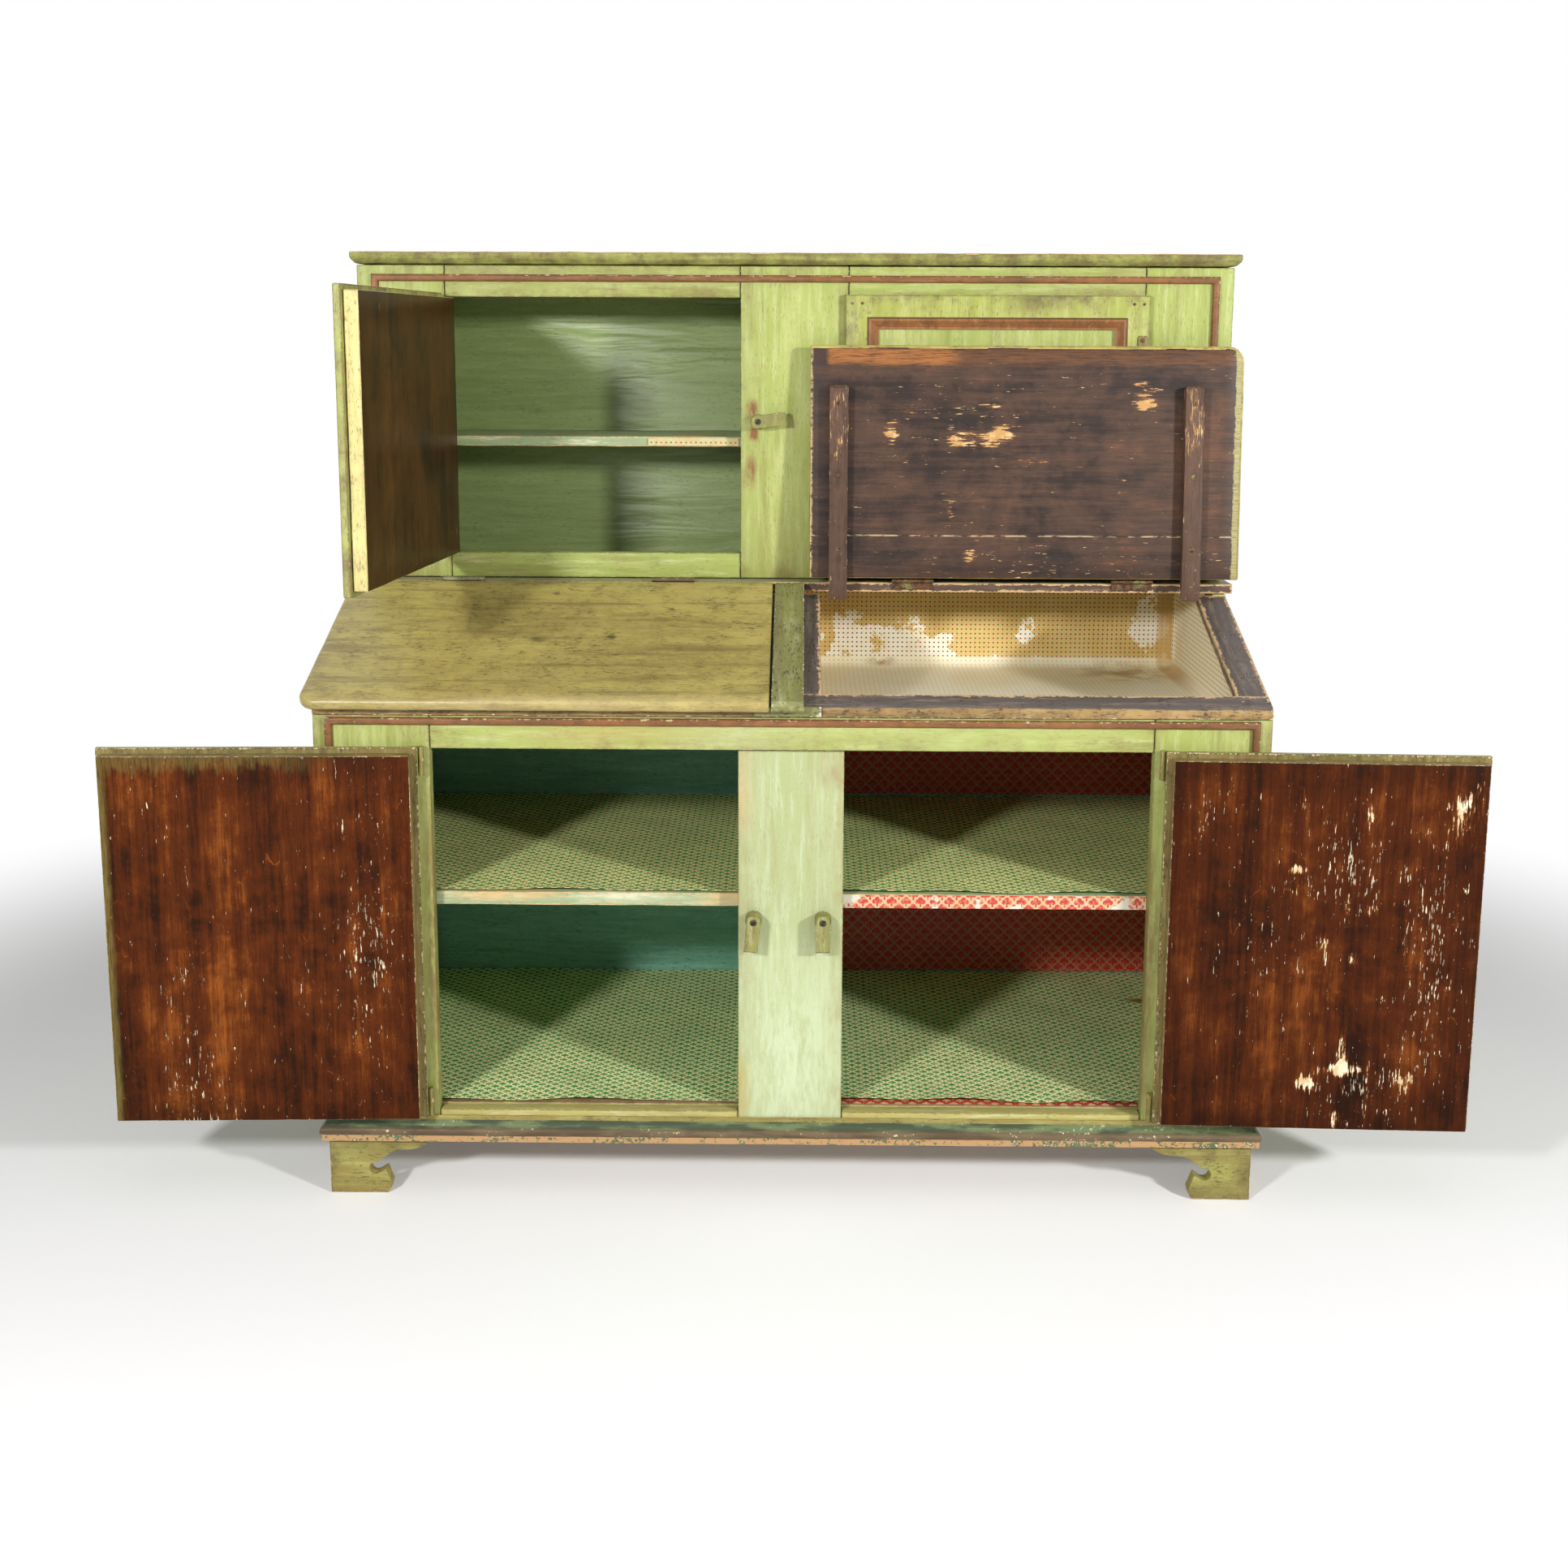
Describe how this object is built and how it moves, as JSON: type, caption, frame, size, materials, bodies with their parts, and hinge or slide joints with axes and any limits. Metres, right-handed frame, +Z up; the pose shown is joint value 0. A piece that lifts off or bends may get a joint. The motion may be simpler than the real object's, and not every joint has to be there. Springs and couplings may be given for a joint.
{
  "type": "slant-top bin sideboard",
  "caption": "Painted wooden sideboard with a base cupboard on bracket feet, bins under sloping hinged lids and a shallow upper cupboard with lipped doors and turn buttons.",
  "frame": {"origin": "on the floor, at the middle of the part's box in plan, doors and lid as in the rest pose", "axes": "+X to the viewer's right, +Y from the front to the back, +Z up"},
  "size_m": [2.0136, 0.7532, 1.425],
  "materials": {
    "green_paint": "worn yellow-green paint",
    "brown_paint": "worn red-brown paint",
    "stained_wood": "dark stain, chipped",
    "dark_wood": "dark worn varnish",
    "olive_paint": "worn olive paint, satin",
    "bare_wood": "bare or lined boards",
    "sage_paint": "sage green paint",
    "iron": "painted and rusted iron"
  },
  "bodies": {
    "carcass": {"side_left": "green_paint", "side_right": "green_paint", "back_panel": "sage_paint", "base_floor": "bare_wood", "bin_floor": "bare_wood", "base_partition": "sage_paint", "lower_shelf_left": "sage_paint", "lower_shelf_right": "sage_paint", "upper_shelf": "sage_paint", "bin_divider": "bare_wood", "ledge": "olive_paint", "base_stile_left": "green_paint", "base_stile_right": "green_paint", "base_stile_centre": "green_paint", "base_rail_top": "green_paint", "base_rail_bottom_left": "green_paint", "base_rail_bottom_right": "green_paint", "upper_stile_left": "green_paint", "upper_stile_centre": "green_paint", "upper_stile_right": "green_paint", "upper_rail_bottom_left": "green_paint", "upper_rail_bottom_right": "green_paint", "upper_rail_top_left": "green_paint", "upper_rail_top_right": "green_paint", "top_board": "green_paint", "base_bead": "brown_paint", "upper_bead": "brown_paint", "plinth": "brown_paint", "foot_front_left": "olive_paint", "foot_front_right": "olive_paint", "foot_back_left": "olive_paint", "foot_back_right": "olive_paint", "rim_front": "dark_wood", "rim_left": "dark_wood", "rim_right": "dark_wood", "rim_centre": "dark_wood", "cross_strip": "olive_paint", "lid_hinge_inner": "iron", "lid_hinge_outer": "iron", "door_board_upper_right": "green_paint", "door_lip_upper_right": "green_paint", "hinge_lower_left_bottom": "iron", "hinge_lower_left_top": "iron", "hinge_lower_right_bottom": "iron", "hinge_lower_right_top": "iron", "hinge_upper_left_bottom": "iron", "hinge_upper_left_top": "iron"},
    "lower_left_door": {"door_board_lower_left": "stained_wood", "door_lip_lower_left": "green_paint"},
    "lower_right_door": {"door_board_lower_right": "stained_wood", "door_lip_lower_right": "green_paint"},
    "upper_left_door": {"door_board_upper_left": "stained_wood", "door_lip_upper_left": "green_paint"},
    "left_lid": {"lid_left": "olive_paint"},
    "right_lid": {"lid_right": "dark_wood", "batten_inner": "stained_wood", "batten_outer": "stained_wood"},
    "lower_left_button": {"button_lower_left": "olive_paint"},
    "lower_right_button": {"button_lower_right": "olive_paint"},
    "upper_left_button": {"button_upper_left": "olive_paint"}
  },
  "joints": [
    {"name": "lower_left_door_swing", "type": "hinge", "parent": "carcass", "child": "lower_left_door", "pos_m": [-0.5395, -0.24539, 0.4165], "axis": [0, 0, 1], "range_deg": [-1, 178]},
    {"name": "lower_right_door_swing", "type": "hinge", "parent": "carcass", "child": "lower_right_door", "pos_m": [0.5395, -0.24539, 0.4165], "axis": [0, 0, 1], "range_deg": [-178, 1]},
    {"name": "upper_left_door_swing", "type": "hinge", "parent": "carcass", "child": "upper_left_door", "pos_m": [-0.5705, 0.11261, 1.1486], "axis": [0, 0, 1], "range_deg": [-80, 94.5]},
    {"name": "left_lid_lift", "type": "hinge", "parent": "carcass", "child": "left_lid", "pos_m": [-0.373, 0.08281, 0.9044], "axis": [1, 0, 0], "range_deg": [-23, 0]},
    {"name": "right_lid_lift", "type": "hinge", "parent": "carcass", "child": "right_lid", "pos_m": [0.37, 0.08281, 0.9044], "axis": [1, 0, 0], "range_deg": [0, 114.2]},
    {"name": "lower_left_button_turn", "type": "hinge", "parent": "carcass", "child": "lower_left_button", "pos_m": [-0.0545, -0.23539, 0.441], "axis": [0, 1, 0], "continuous": true},
    {"name": "lower_right_button_turn", "type": "hinge", "parent": "carcass", "child": "lower_right_button", "pos_m": [0.048, -0.23539, 0.441], "axis": [0, 1, 0], "continuous": true},
    {"name": "upper_left_button_turn", "type": "hinge", "parent": "carcass", "child": "upper_left_button", "pos_m": [-0.0575, 0.12261, 1.1574], "axis": [0, 1, 0], "continuous": true}
  ]
}
